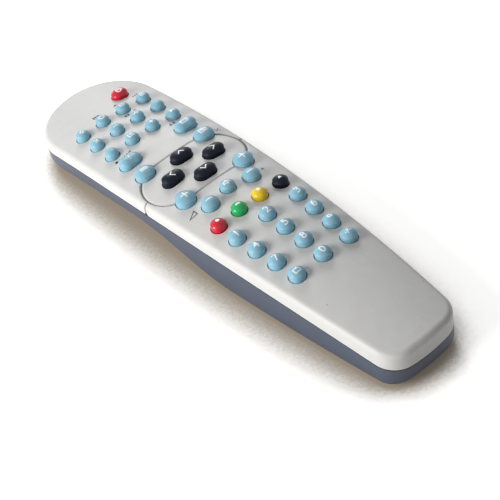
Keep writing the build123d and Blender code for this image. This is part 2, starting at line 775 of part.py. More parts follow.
def contact_leaf(x, end, inward):
    """A sprung contact: a strip bent out from the wall to a cell's flat end and back."""
    spring = BAY_HEAD_Y - BAY_TAIL_Y - CELL_LENGTH - CELL_NUB - CONTACT_THICK - 2 * CONTACT_GAP
    wall = end + inward * CONTACT_THICK / 2
    crest = end + inward * (spring - CONTACT_THICK / 2)
    reach = CONTACT_WIDTH / 2
    with BuildPart() as leaf:
        with BuildSketch(Plane.YZ.offset(x - reach)):
            with BuildLine():
                FilletPolyline((wall, CELL_Z + reach), (wall, CELL_Z + reach / 2),
                               (crest, CELL_Z + reach / 3), (crest, CELL_Z - reach / 3),
                               (wall + inward * CONTACT_THICK, CELL_Z - reach), radius=LEAF_BEND)
            trace(line_width=CONTACT_THICK)
        extrude(amount=CONTACT_WIDTH)
    return leaf.part


def contact_lug(x, end, inward):
    """The lug that takes a contact up through the bay's roof to the board."""
    low_y, high_y = sorted((end, end + inward * CONTACT_THICK))
    return box_between((x - LUG_WIDTH / 2, low_y, CELL_Z), (x + LUG_WIDTH / 2, high_y, board_foot))


with BuildPart() as contact_positive:
    add(contact_plate(-CELL_X, BAY_HEAD_Y, -1))
    add(contact_lug(-CELL_X, BAY_HEAD_Y, -1))
contact_positive.part.label = "contact_positive"
export_step(contact_positive.part, "parts/contact_positive.step")

with BuildPart() as contact_negative:
    add(contact_leaf(CELL_X, BAY_HEAD_Y, -1))
    add(contact_lug(CELL_X, BAY_HEAD_Y, -1))
contact_negative.part.label = "contact_negative"
export_step(contact_negative.part, "parts/contact_negative.step")

with BuildPart() as contact_bridge:
    add(contact_plate(CELL_X, BAY_TAIL_Y, 1))
    add(contact_leaf(-CELL_X, BAY_TAIL_Y, 1))
    strip_low = CELL_Z + CONTACT_WIDTH / 2 - CONTACT_STRIP
    add(box_between((-CELL_X, BAY_TAIL_Y, strip_low),
                    (CELL_X, BAY_TAIL_Y + CONTACT_THICK, strip_low + CONTACT_STRIP)))
contact_bridge.part.label = "contact_bridge"
export_step(contact_bridge.part, "parts/contact_bridge.step")

# Case screws, driven up from the underside into the covers' bosses
with BuildPart() as case_screws:
    for x, y in SCREWS:
        seat = case_bottom(y) + SCREW_DEPTH
        add(post(x, y, SCREW_HEAD_R, seat - SCREW_HEAD, seat))
        add(post(x, y, SCREW_R, seat, seam_height(y) + SCREW_BITE - SCREW_GAP))
        with Locations((x, y, seat - SCREW_HEAD)):
            Box(2 * SCREW_R, SCREW_SLOT, SCREW_HEAD, mode=Mode.SUBTRACT)
            Box(SCREW_SLOT, 2 * SCREW_R, SCREW_HEAD, mode=Mode.SUBTRACT)
case_screws.part.label = "case_screws"
export_step(case_screws.part, "parts/case_screws.step")


def ear_height(x, y, reach):
    """How high a key's ears stand: just under the lowest cover over their corners."""
    corners = [(x + side * reach, y + end * EAR_WIDTH / 2) for side in (-1, 1) for end in (-1, 1)]
    return min(top_height(a, b, WALL) for a, b in corners) - EAR_UNDER


def key_part(x, y, radius, half):
    """One key: domed cap, two ears kept under the cover, plunger over the mat."""
    reach = half + radius + EAR_REACH
    ear_top = ear_height(x, y, reach)
    foot = ear_top - EAR_THICK
    cap_top = top_height(x, y) + KEY_RISE
    shoulder = cap_top - KEY_DOME
    dome_r = (radius ** 2 + KEY_DOME ** 2) / (2 * KEY_DOME)
    lean = radius / 2
    lean_z = cap_top - dome_r + sqrt(dome_r ** 2 - lean ** 2)
    ends = [-half, half] if half else [0]
    with BuildPart() as key:
        for end in ends:
            with BuildSketch(Plane((x + end, y, 0), x_dir=(1, 0, 0), z_dir=(0, -1, 0))):
                with BuildLine():
                    Polyline((0, cap_top), (0, foot), (radius, foot), (radius, shoulder))
                    ThreePointArc((radius, shoulder), (lean, lean_z), (0, cap_top))
                make_face()
            revolve(axis=Axis((x + end, y, 0), (0, 0, 1)))
        if half:
            with BuildSketch(Plane.YZ.offset(x - half)):
                with BuildLine():
                    Polyline((y - radius, shoulder), (y - radius, foot), (y + radius, foot),
                             (y + radius, shoulder))
                    ThreePointArc((y + radius, shoulder), (y, cap_top), (y - radius, shoulder))
                make_face()
            extrude(amount=2 * half)
        add(box_between((x - reach, y - EAR_WIDTH / 2, foot), (x + reach, y + EAR_WIDTH / 2, ear_top)))
        add(box_between((x - PLUNGER / 2, y - PLUNGER / 2, mat_top + KEY_TRAVEL + PILL_GAP),
                        (x + PLUNGER / 2, y + PLUNGER / 2, foot)))
    return key.part


for name, x, y, radius, half in KEYS:
    key = key_part(x, y, radius, half)
    key.label = name
    export_step(key, f"parts/{name}.step")
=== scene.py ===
import bmesh
import bpy
from math import cos, pi, radians, sin, sqrt
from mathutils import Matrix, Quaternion, Vector


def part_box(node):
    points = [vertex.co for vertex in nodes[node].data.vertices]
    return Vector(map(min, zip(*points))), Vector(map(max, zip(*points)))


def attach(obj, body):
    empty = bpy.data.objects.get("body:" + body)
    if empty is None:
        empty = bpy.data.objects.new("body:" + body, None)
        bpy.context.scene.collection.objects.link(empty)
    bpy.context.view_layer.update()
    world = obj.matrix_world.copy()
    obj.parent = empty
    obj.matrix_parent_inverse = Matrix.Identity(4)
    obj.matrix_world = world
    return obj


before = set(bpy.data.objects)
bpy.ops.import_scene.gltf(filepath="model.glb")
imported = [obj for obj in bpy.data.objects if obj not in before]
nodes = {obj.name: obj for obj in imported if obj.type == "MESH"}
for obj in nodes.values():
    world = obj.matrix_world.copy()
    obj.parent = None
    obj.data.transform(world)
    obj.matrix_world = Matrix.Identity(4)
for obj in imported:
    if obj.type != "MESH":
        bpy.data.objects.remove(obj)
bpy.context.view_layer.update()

MM = 0.001

# The top face of the covers, in millimetres, as the source gives it
TOP_Z = 25.4
ARCH_R = 815.0
CROWN_R = 108.0

# Where the covers meet each other, the oval plate and the lower case, in millimetres
SEAM_DROP = 7.9
SPLIT_Y = 19.0
OVAL_HALF = 10.3
OVAL_R = 13.3
OVAL_GAP = 0.15

# Joint lines of the covers, in millimetres from their middle: the painted shade of the gap's
# dark line, its rounded shoulders and their depth, and how far past the oval's straight sides
# the line starts; then how much of the line's painted shade shows
LINE_DARK, LINE_CLEAR = 0.15, 0.60
SHOULDER_FOOT, SHOULDER_TOP, SHOULDER_DEPTH = 0.1, 1.0, 0.32
LINE_START = 0.5
LINE_SHADE_SHARE = 0.62
LINE_SHADE_COLOUR = (0.20, 0.195, 0.19, 1)

# The painted shade of a notch where the split meets the seam, by its distance from there, and
# the painted shade line of the lower case under the covers' foot, by its height over the seam,
# in millimetres, with how much of it shows
NOTCH_DARK, NOTCH_CLEAR = 0.75, 1.15
NOTCH_SHADE_COLOUR = (0.020, 0.020, 0.022, 1)
SEAM_DARK, SEAM_CLEAR = -0.35, -0.75
SEAM_SHADE_SHARE = 0.75
SEAM_SHADE_COLOUR = (0.010, 0.011, 0.014, 1)

# Scratches: the scales of their noise, across them and along them, and the scale and threshold
# of the patches that they lie in
SCRATCH_STRETCH = (2600, 60, 60)
PATCH_SCALE = 45
PATCH_EDGE = 0.56

# How far a key's ears reach beside its cap, and how far its dome rises, in millimetres
KEY_EAR = 0.8
KEY_DOME = 1.5

# Bare metal at the ends of the chip, the capacitor and the cells, and the nub and the coloured
# band of a cell, in millimetres along their length
CHIP_LEG = 1.25
CAN_RIM = 0.4
CELL_RIM = 0.6
CELL_NUB = 1.2
CELL_BAND = 9.0

# Printed marks, in millimetres: how far they stand proud, how deep they reach, how much higher
# each further layer lies, how finely they are cut to follow the surface, how far those cuts
# keep off round numbers, and how near two points are one
INK_LIFT = 0.012
INK_SINK = 0.05
LAYER_LIFT = 0.004
INK_STEP = 0.35
INK_OFFSET = 0.017
SAME_POINT = 1e-5

# Lines and digits of the marks, in millimetres, and the size and boldness of the font that the
# digits are scaled from
LINE = 0.46
THIN = 0.40
DIGIT = 3.4
FONT_SIZE = 10
FONT_BOLD = 0.10

# The least cosine that a line's corner is drawn out by, so that a sharp one isn't a long spike
CORNER_COS = 0.35

# The floor, in metres: half its side, its height, and the reach of the object's painted shade
# halo on it, with how many rays find the painted shade halo
FLOOR_REACH = 3.0
FLOOR_Z = -0.00005
HALO_REACH = 0.032
HALO_SAMPLES = 12

# The painted shade halo's colours, the shares of open sky between which it fades out, and its
# grain in them
PAINTED_SHADE_BROWN = (0.39, 0.33, 0.255, 1)
PAINTED_SHADE_GLOW = (1.0, 0.86, 0.70, 1)
HALO_SKY = (0.50, 0.80)
HALO_GRIT = 0.035

# The floor's own glow to the eye: its strengths at two shares of open sky, less near the object
# as painted shade there, and what is added to it between two distances from the object, in
# metres, as a painted brightening of the far floor
GLOW_SKY, GLOW = (0.64, 0.83), (0.08, 0.64)
FAR, FAR_GLOW = (0.22, 0.7), 0.24

# The world as the object gets it, and as the eye does
WORLD_FILL = (0.18, 0.18, 0.18, 1)
WHITE = (1, 1, 1, 1)

# Camera: where the photograph was taken from, in metres, and how its picture is framed
CAMERA_PLACE = Vector((-0.19845, -0.3238, 0.3503))
CAMERA_LOOK = Vector((0.39159, 0.61936, -0.68048))
CAMERA_ROLL = radians(-12.49)
CAMERA_LENS = 93.6
CAMERA_SENSOR = 36
CAMERA_SHIFT = (0.002, -0.032)
CAMERA_CLIP = (0.01, 100)

camera_data = bpy.data.cameras.new("camera")
camera_data.sensor_width = CAMERA_SENSOR
camera_data.lens = CAMERA_LENS
camera_data.shift_x, camera_data.shift_y = CAMERA_SHIFT
camera_data.clip_start, camera_data.clip_end = CAMERA_CLIP
camera = bpy.data.objects.new("camera", camera_data)
bpy.context.scene.collection.objects.link(camera)
camera.location = CAMERA_PLACE
camera.rotation_mode = "QUATERNION"
camera.rotation_quaternion = (CAMERA_LOOK.to_track_quat("-Z", "Y")
                              @ Quaternion((0, 0, 1), CAMERA_ROLL))
bpy.context.scene.camera = camera
bpy.context.scene.view_settings.view_transform = "Standard"


# Shader nodes
def add_node(tree, kind, inputs=None, **props):
    """A shader node with its properties set and its inputs linked or set."""
    made = tree.nodes.new(kind)
    for key, value in props.items():
        setattr(made, key, value)
    for key, value in (inputs or {}).items():
        if isinstance(value, bpy.types.NodeSocket):
            tree.links.new(value, made.inputs[key])
        else:
            made.inputs[key].default_value = value
    return made


def new_material(name):
    """A node material with its Principled shader."""
    material = bpy.data.materials.new(name)
    material.use_nodes = True
    return material, material.node_tree, principled(material)


def principled(material):
    """A material's Principled shader."""
    return material.node_tree.nodes["Principled BSDF"]


def object_place(tree):
    """The place on the piece, in metres, in the piece's own frame."""
    return add_node(tree, "ShaderNodeTexCoord").outputs["Object"]


def place_parts(tree):
    """The place's three parts: across, along and up."""
    return add_node(tree, "ShaderNodeSeparateXYZ", {"Vector": object_place(tree)}).outputs


def stretched(tree, place, scale, turn=0.0):
    """A place stretched and turned about the upright axis."""
    made = add_node(tree, "ShaderNodeMapping",
                    {"Vector": place, "Rotation": (0, 0, radians(turn)), "Scale": scale})
    return made.outputs[0]


def noise(tree, place, scale, detail=2.0, rough=0.5):
    """Noise between 0 and 1 at so many cells to the metre."""
    made = add_node(tree, "ShaderNodeTexNoise",
                    {"Vector": place, "Scale": scale, "Detail": detail, "Roughness": rough})
    return made.outputs[0]


def spread(tree, value, low, high, to_low, to_high):
    """A value between two ends brought between two others."""
    made = add_node(tree, "ShaderNodeMapRange",
                    {"Value": value, "From Min": low, "From Max": high,
                     "To Min": to_low, "To Max": to_high})
    return made.outputs[0]


def mixed(tree, amount, first, second):
    """Two colours mixed."""
    made = add_node(tree, "ShaderNodeMix", {0: amount, 6: first, 7: second}, data_type="RGBA")
    return made.outputs[2]


def calc(tree, operation, first, second=0.0):
    """One sum of one or two values."""
    made = add_node(tree, "ShaderNodeMath", {0: first, 1: second}, operation=operation)
    return made.outputs[0]


def hypotenuse(tree, first, second):
    """The length of two legs at right angles."""
    squares = [calc(tree, "MULTIPLY", leg, leg) for leg in (first, second)]
    return calc(tree, "SQRT", calc(tree, "ADD", *squares))


def away_from(tree, value, middle):
    """How far a value is from a middle, either way."""
    return calc(tree, "ABSOLUTE", calc(tree, "SUBTRACT", value, middle))


def excess(tree, first, second):
    """How far one value is over another, and nothing where it is under it."""
    return calc(tree, "MAXIMUM", calc(tree, "SUBTRACT", first, second), 0.0)


def shown_to_eye(tree):
    """One for rays from the camera, for reflections and for what is seen through glass."""
    path = add_node(tree, "ShaderNodeLightPath").outputs
    seen = calc(tree, "MAXIMUM", path["Is Camera Ray"], path["Is Glossy Ray"])
    return calc(tree, "MAXIMUM", seen, path["Is Transmission Ray"])


# Finishes
def shade(colour, factor):
    """A colour made lighter or darker."""
    return tuple(min(c * factor, 1.0) for c in colour[:3]) + (1.0,)


def moulded(name, colour, rough, grain, depth, mottle=0.03, mottle_scale=220, rough_spread=0.05,
            coat=0.0, coat_rough=0.2, specular=0.5, transmission=0.0):
    """Moulded plastic: fine grain in its bump, slight mottle in its colour and gloss."""
    material, tree, shader = new_material(name)
    place = object_place(tree)
    broad = noise(tree, place, mottle_scale, 3.0)
    fine = noise(tree, place, grain, 2.0, 0.6)
    tint = mixed(tree, spread(tree, broad, 0.3, 0.7, 0, 1),
                 shade(colour, 1 - mottle), shade(colour, 1 + mottle))
    tree.links.new(tint, shader.inputs["Base Color"])
    gloss = calc(tree, "ADD", spread(tree, fine, 0.2, 0.8, -0.02, 0.02),
                 spread(tree, broad, 0.25, 0.75, rough - rough_spread, rough + rough_spread))
    tree.links.new(gloss, shader.inputs["Roughness"])
    bump = add_node(tree, "ShaderNodeBump", {"Strength": 0.6, "Distance": depth, "Height": fine})
    tree.links.new(bump.outputs[0], shader.inputs["Normal"])
    shader.inputs["Specular IOR Level"].default_value = specular
    shader.inputs["Coat Weight"].default_value = coat
    shader.inputs["Coat Roughness"].default_value = coat_rough
    shader.inputs["Transmission Weight"].default_value = transmission
    return material


def metal(name, colour, rough, grain, depth):
    """Plated sheet or turned metal with fine drawn lines."""
    material, tree, shader = new_material(name)
    lines = noise(tree, stretched(tree, object_place(tree), (1, 14, 1)), grain, 3.0)
    tint = mixed(tree, lines, shade(colour, 0.86), shade(colour, 1.08))
    tree.links.new(tint, shader.inputs["Base Color"])
    gloss = spread(tree, lines, 0.2, 0.8, rough - 0.08, rough + 0.1)
    tree.links.new(gloss, shader.inputs["Roughness"])
    bump = add_node(tree, "ShaderNodeBump", {"Strength": 0.5, "Distance": depth, "Height": lines})
    tree.links.new(bump.outputs[0], shader.inputs["Normal"])
    shader.inputs["Metallic"].default_value = 1.0
    return material


def tinted(material, amount, colour):
    """A second colour laid over a material's own where the amount says so."""
    tree = material.node_tree
    base = principled(material).inputs["Base Color"]
    tree.links.new(mixed(tree, amount, base.links[0].from_socket, colour), base)


def specked(material, scale, size, share, strength, colour):
    """Small round specks over a material's colour: one in some of the cells."""
    tree = material.node_tree
    cells = add_node(tree, "ShaderNodeTexVoronoi", {"Vector": object_place(tree), "Scale": scale})
    dot = calc(tree, "LESS_THAN", cells.outputs["Distance"], size)
    chance = add_node(tree, "ShaderNodeSeparateColor", {"Color": cells.outputs["Color"]})
    chosen = calc(tree, "LESS_THAN", chance.outputs[0], share)
    amount = calc(tree, "MULTIPLY", calc(tree, "MULTIPLY", dot, chosen), strength)
    tinted(material, amount, colour)


def scratched(material, turn, threshold, strength, colour):
    """Fine straight scratches over a material's colour, along one direction and in patches."""
    tree = material.node_tree
    place = object_place(tree)
    lines = noise(tree, stretched(tree, place, SCRATCH_STRETCH, turn), 1.0, 1.0)
    patches = noise(tree, place, PATCH_SCALE, 1.0)
    marks = calc(tree, "MULTIPLY", calc(tree, "GREATER_THAN", lines, threshold),
                 calc(tree, "GREATER_THAN", patches, PATCH_EDGE))
    tinted(material, calc(tree, "MULTIPLY", marks, strength), colour)


def joint_places(tree):
    """What joint lines are drawn by: the distance across, off the split and over the seam, and
    the painted shade of a notch where the last two meet."""
    parts = place_parts(tree)
    across = calc(tree, "ABSOLUTE", parts[0])
    off = away_from(tree, parts[1], SPLIT_Y * MM)
    seam_turn = (ARCH_R - SEAM_DROP) * MM
    square = calc(tree, "MULTIPLY", parts[1], parts[1])
    seam = calc(tree, "SQRT", calc(tree, "SUBTRACT", seam_turn ** 2, square))
    over = calc(tree, "SUBTRACT", calc(tree, "SUBTRACT", parts[2], (TOP_Z - ARCH_R) * MM), seam)
    notch_shade = spread(tree, hypotenuse(tree, off, over), NOTCH_DARK * MM, NOTCH_CLEAR * MM, 1.0, 0.0)
    return across, off, over, notch_shade


def case_seam_shade(material):
    """Painted shade: the dark line under the covers' foot, where the seam's gap is, and the
    painted shade of a notch in it.
    """
    tree = material.node_tree
    _, _, over, notch_shade = joint_places(tree)
    # Painted shade along the seam, darkest just under it
    line = spread(tree, over, SEAM_CLEAR * MM, SEAM_DARK * MM, 0.0, SEAM_SHADE_SHARE)
    tinted(material, calc(tree, "MAXIMUM", line, notch_shade), SEAM_SHADE_COLOUR)


def cover_joints_with_shade(material):
    """The rounded joint lines round the oval plate's ends and between the two covers: rounded
    shoulders in the bump, painted shade along each line, and the painted shade of a notch where
    the split meets the seam.
    """
    tree = material.node_tree
    normal = principled(material).inputs["Normal"]
    across, off, _, notch_shade = joint_places(tree)
    past = excess(tree, across, OVAL_HALF * MM)
    ring = away_from(tree, hypotenuse(tree, past, off), (OVAL_R - OVAL_GAP / 2) * MM)
    # A metre more along the straight sides, so that they get no line
    ring = calc(tree, "ADD", ring, calc(tree, "LESS_THAN", past, LINE_START * MM))
    short = excess(tree, (OVAL_HALF + OVAL_R) * MM, across)
    joint = calc(tree, "MINIMUM", ring, hypotenuse(tree, short, off))
    shoulder = add_node(tree, "ShaderNodeMapRange",
                        {"Value": joint, "From Min": SHOULDER_FOOT * MM,
                         "From Max": SHOULDER_TOP * MM}, interpolation_type="SMOOTHSTEP")
    bump = add_node(tree, "ShaderNodeBump",
                    {"Strength": 1.0, "Distance": SHOULDER_DEPTH * MM,
                     "Height": shoulder.outputs[0], "Normal": normal.links[0].from_socket})
    tree.links.new(bump.outputs[0], normal)
    # Painted shade: the gap's dark line, darkest at the line's middle
    dark = spread(tree, joint, LINE_DARK * MM, LINE_CLEAR * MM, LINE_SHADE_SHARE, 0.0)
    tinted(material, dark, LINE_SHADE_COLOUR)
    # Painted shade of a notch where the split meets the seam
    tinted(material, notch_shade, NOTCH_SHADE_COLOUR)


def board_material():
    """Fibreglass board: green mask, paler copper runs under it, tinned pads."""
    material = moulded("board", (0.020, 0.115, 0.050, 1), rough=0.32, grain=2600, depth=1.0e-5,
                       mottle=0.1)
    tree = material.node_tree
    runs = add_node(tree, "ShaderNodeTexBrick",
                    {"Vector": object_place(tree), "Scale": 240.0, "Mortar Size": 0.035})
    tinted(material, calc(tree, "MULTIPLY", runs.outputs["Fac"], 0.6), (0.075, 0.26, 0.11, 1))
    specked(material, scale=300, size=0.16, share=0.45, strength=1.0,
            colour=(0.62, 0.60, 0.55, 1))
    return material


def split_material(name, colour, bare, low, high):
    """A moulded body whose ends, past two places along its length, are bare metal."""
    material = moulded(name, colour, rough=0.42, grain=2600, depth=1.2e-5, mottle=0.08)
    tree = material.node_tree
    along = place_parts(tree)[1]
    past = calc(tree, "MAXIMUM", calc(tree, "LESS_THAN", along, low),
                calc(tree, "GREATER_THAN", along, high))
    tinted(material, past, bare)
    tree.links.new(past, principled(material).inputs["Metallic"])
    return material


def cell_material(name, node_name, toward):
    """A dry cell: plain jacket, one band near its positive end, bare metal ends."""
    low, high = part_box(node_name)
    rim = CELL_RIM * MM
    nub = CELL_NUB * MM
    if toward > 0:
        foot, top = low.y + rim, high.y - nub - rim
        band = (top - CELL_BAND * MM, top)
    else:
        foot, top = low.y + nub + rim, high.y - rim
        band = (foot, foot + CELL_BAND * MM)
    material = split_material(name, (0.30, 0.32, 0.34, 1), (0.70, 0.69, 0.66, 1), foot, top)
    tree = material.node_tree
    along = place_parts(tree)[1]
    inside = calc(tree, "MULTIPLY", calc(tree, "GREATER_THAN", along, band[0]),
                  calc(tree, "LESS_THAN", along, band[1]))
    tinted(material, inside, (0.05, 0.16, 0.42, 1))
    return material


# Covers
cover_plastic = moulded("cover_plastic", (0.632, 0.630, 0.620, 1), rough=0.44, grain=5200,
                        depth=1.2e-5, mottle=0.018, specular=0.36)
specked(cover_plastic, scale=130, size=0.045, share=0.16, strength=0.5,
        colour=(0.28, 0.27, 0.26, 1))
scratched(cover_plastic, turn=38, threshold=0.73, strength=0.28, colour=(0.34, 0.33, 0.32, 1))
cover_joints_with_shade(cover_plastic)

# Lower case and battery door
SLATE = {"colour": (0.056, 0.070, 0.104, 1), "grain": 3600, "depth": 3.0e-5, "mottle": 0.06,
         "mottle_scale": 90, "specular": 0.4}
case_plastic = moulded("case_plastic", rough=0.46, **SLATE)
scratched(case_plastic, turn=-12, threshold=0.73, strength=0.22, colour=(0.18, 0.20, 0.24, 1))
case_seam_shade(case_plastic)
door_plastic = moulded("door_plastic", rough=0.45, **SLATE)
scratched(door_plastic, turn=70, threshold=0.70, strength=0.4, colour=(0.25, 0.27, 0.30, 1))

# Keys
GLOSSY_KEY = {"rough": 0.24, "grain": 6500, "depth": 0.8e-5, "mottle": 0.05, "mottle_scale": 900,
              "coat": 0.3, "coat_rough": 0.12, "specular": 0.3}
key_pale = moulded("key_pale", (0.252, 0.490, 0.615, 1), rough=0.40, grain=5200, depth=1.6e-5,
                   mottle=0.05, mottle_scale=1300, specular=0.40)
key_red = moulded("key_red", (0.62, 0.007, 0.026, 1), **GLOSSY_KEY)
key_green = moulded("key_green", (0.006, 0.43, 0.110, 1), **GLOSSY_KEY)
key_yellow = moulded("key_yellow", (0.86, 0.58, 0.014, 1), **GLOSSY_KEY)
key_navy = moulded("key_navy", (0.0045, 0.0070, 0.0170, 1), rough=0.44, grain=4200, depth=2.4e-5,
                   mottle=0.4, mottle_scale=1500, specular=0.16)

# Ink of the printed marks
INK = {"grain": 7000, "depth": 0.6e-5, "mottle_scale": 1800}
ink_white = moulded("ink_white", (0.90, 0.92, 0.93, 1), rough=0.38, mottle=0.03, **INK)
ink_black = moulded("ink_black", (0.020, 0.020, 0.022, 1), rough=0.45, mottle=0.15, **INK)

# Metal of the contacts and the screws
contact_steel = metal("contact_steel", (0.72, 0.70, 0.66, 1), rough=0.28, grain=420, depth=1.0e-5)
screw_steel = metal("screw_steel", (0.46, 0.45, 0.44, 1), rough=0.34, grain=700, depth=1.2e-5)

# The dark red window that the lamp shines through, the lamp, the mat and the resonator
window_plastic = moulded("window_plastic", (0.045, 0.006, 0.010, 1), rough=0.12, grain=3000,
                         depth=0.5e-5, mottle=0.1, rough_spread=0.03, coat=0.6, coat_rough=0.06,
                         transmission=0.25)
lamp_plastic = moulded("lamp_plastic", (0.62, 0.70, 0.92, 1), rough=0.08, grain=2600,
                       depth=0.5e-5, mottle=0.04, rough_spread=0.03, transmission=0.8)
mat_rubber = moulded("mat_rubber", (0.42, 0.43, 0.44, 1), rough=0.62, grain=2400, depth=1.5e-5,
                     mottle=0.05)
ceramic = moulded("ceramic", (0.66, 0.30, 0.06, 1), rough=0.30, grain=2200, depth=1.5e-5,
                  mottle=0.08)

# Chip and capacitor
chip_low, chip_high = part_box("controller_chip")
chip_plastic = split_material("chip_plastic", (0.018, 0.018, 0.020, 1), (0.62, 0.61, 0.58, 1),
                              chip_low.y + CHIP_LEG * MM, chip_high.y - CHIP_LEG * MM)
can_low, can_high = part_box("capacitor")
capacitor_can = split_material("capacitor_can", (0.020, 0.026, 0.060, 1), (0.60, 0.60, 0.60, 1),
                               can_low.y + CAN_RIM * MM, can_high.y - CAN_RIM * MM)


def dress(material, *names):
    """Gives CAD nodes their material."""
    for name in names:
        slots = nodes[name].data.materials
        if len(slots):
            slots[0] = material
        else:
            slots.append(material)


dress(cover_plastic, "head_cover", "tail_cover", "nav_plate")
dress(case_plastic, "lower_case")
dress(door_plastic, "battery_door")
dress(board_material(), "circuit_board")
dress(mat_rubber, "keypad_mat")
dress(window_plastic, "ir_window")
dress(lamp_plastic, "ir_lamp")
dress(chip_plastic, "controller_chip")
dress(ceramic, "resonator")
dress(capacitor_can, "capacitor")
dress(cell_material("cell_jacket_left", "battery_left", 1), "battery_left")
dress(cell_material("cell_jacket_right", "battery_right", -1), "battery_right")
dress(contact_steel, "contact_positive", "contact_negative", "contact_bridge")
dress(screw_steel, "case_screws")
COLOURED = {"key_power": key_red, "key_red": key_red, "key_green": key_green,
            "key_yellow": key_yellow, "key_blue": key_navy, "key_arrow_left": key_navy,
            "key_arrow_right": key_navy, "key_arrow_up": key_navy, "key_arrow_down": key_navy}
for name in nodes:
    if name.startswith("key_"):
        dress(COLOURED.get(name, key_pale), name)


# Outlines of marks, in millimetres, as closed loops of points
def circle(x, y, radius, count):
    """Points round a circle."""
    turn = [2 * pi * k / count for k in range(count)]
    return [(x + radius * cos(a), y + radius * sin(a)) for a in turn]


def ring_loops(x, y, outer, inner):
    """A ring round a place."""
    return [circle(x, y, radius, 28) for radius in (outer, inner)]


def disc(x, y, radius):
    """A filled round dot."""
    return [circle(x, y, radius, 24)]


def bar(x, y, length, width, turn=0.0):
    """A straight bar about its middle, turned so many degrees."""
    c, s = cos(radians(turn)), sin(radians(turn))
    corners = [(-1, -1), (1, -1), (1, 1), (-1, 1)]
    return [[(x + a * length / 2 * c - b * width / 2 * s,
              y + a * length / 2 * s + b * width / 2 * c) for a, b in corners]]


def stroke(points, width, closed=False):
    """A line of even width with square corners: one loop, or two where it closes."""
    count = len(points)

    def side(sign):
        out = []
        for k in range(count):
            here = Vector(points[k])
            before = here - Vector(points[k - 1]) if closed or k else None
            after = Vector(points[(k + 1) % count]) - here if closed or k < count - 1 else None
            runs = [run.normalized() for run in (before, after) if run is not None]
            normals = [Vector((-run.y, run.x)) for run in runs]
            middle = sum(normals, Vector((0, 0))).normalized()
            reach = width / 2 / max(middle.dot(normals[0]), CORNER_COS)
            out.append(tuple(here + sign * reach * middle))
        return out
    if closed:
        return [side(1), side(-1)]
    return [side(1) + side(-1)[::-1]]


def frame_loops(x, y, width, height, line):
    """An upright rectangle's outline."""
    w, h = width / 2, height / 2
    corners = [(x - w, y - h), (x + w, y - h), (x + w, y + h), (x - w, y + h)]
    return stroke(corners, line, closed=True)


def plus_loops(x, y, size, line):
    """A plus sign as one outline."""
    s, w = size / 2, line / 2
    return [[(x + a, y + b) for a, b in ((-s, -w), (-w, -w), (-w, -s), (w, -s), (w, -w), (s, -w),
                                         (s, w), (w, w), (w, s), (-w, s), (-w, w), (-s, w))]]


def arc_points(x, y, radius, start, end, count=18):
    """Points along an arc, in degrees."""
    turn = [radians(start + (end - start) * k / count) for k in range(count + 1)]
    return [(x + radius * cos(a), y + radius * sin(a)) for a in turn]


def flat_mesh(data):
    """The filled face of a flat curve or text, as a mesh of its own."""
    holder = bpy.data.objects.new("flat", data)
    bpy.context.scene.collection.objects.link(holder)
    bpy.context.view_layer.update()
    graph = bpy.context.evaluated_depsgraph_get()
    made = bpy.data.meshes.new_from_object(holder.evaluated_get(graph))
    bpy.data.objects.remove(holder)
    bpy.data.curves.remove(data)
    return made


def loops_mesh(loops):
    """A flat face inside closed loops, holes left open."""
    data = bpy.data.curves.new("flat", "CURVE")
    data.dimensions = "2D"
    data.fill_mode = "BOTH"
    for loop in loops:
        spline = data.splines.new("POLY")
        spline.points.add(len(loop) - 1)
        for point, (x, y) in zip(spline.points, loop):
            point.co = (x, y, 0, 1)
        spline.use_cyclic_u = True
    return flat_mesh(data)


def text_mesh(text, height):
    """One generic sign of the built-in font, centred, so many millimetres high."""
    data = bpy.data.curves.new("flat", "FONT")
    data.body = text
    data.size = FONT_SIZE
    data.offset = FONT_BOLD
    made = flat_mesh(data)
    xs = [v.co.x for v in made.vertices]
    ys = [v.co.y for v in made.vertices]
    middle = ((min(xs) + max(xs)) / 2, (min(ys) + max(ys)) / 2)
    scale = height / (max(ys) - min(ys))
    for v in made.vertices:
        v.co.x = (v.co.x - middle[0]) * scale
        v.co.y = (v.co.y - middle[1]) * scale
    return made


def cut_finely(part):
    """Cuts a flat mesh into small squares, so that it can follow a curved surface."""
    reach = max(max(abs(v.co.x), abs(v.co.y)) for v in part.verts)
    steps = int(reach / INK_STEP) + 1
    for k in range(-steps, steps + 1):
        for normal in ((1, 0, 0), (0, 1, 0)):
            place = Vector(normal) * (k * INK_STEP + INK_OFFSET)
            bmesh.ops.bisect_plane(part, geom=part.verts[:] + part.edges[:] + part.faces[:],
                                   dist=SAME_POINT, plane_co=place, plane_no=normal)
    bmesh.ops.triangulate(part, faces=part.faces[:])


def bend_skin(part, surface, lift):
    """Makes a flat mesh a thin closed skin that follows a surface."""
    grown = bmesh.ops.extrude_face_region(part, geom=part.faces[:])
    upper = {v for v in grown["geom"] if isinstance(v, bmesh.types.BMVert)}
    for v in part.verts:
        v.co.z = surface(v.co.x, v.co.y) + (lift if v in upper else -INK_SINK)
    bmesh.ops.recalc_face_normals(part, faces=part.faces[:])


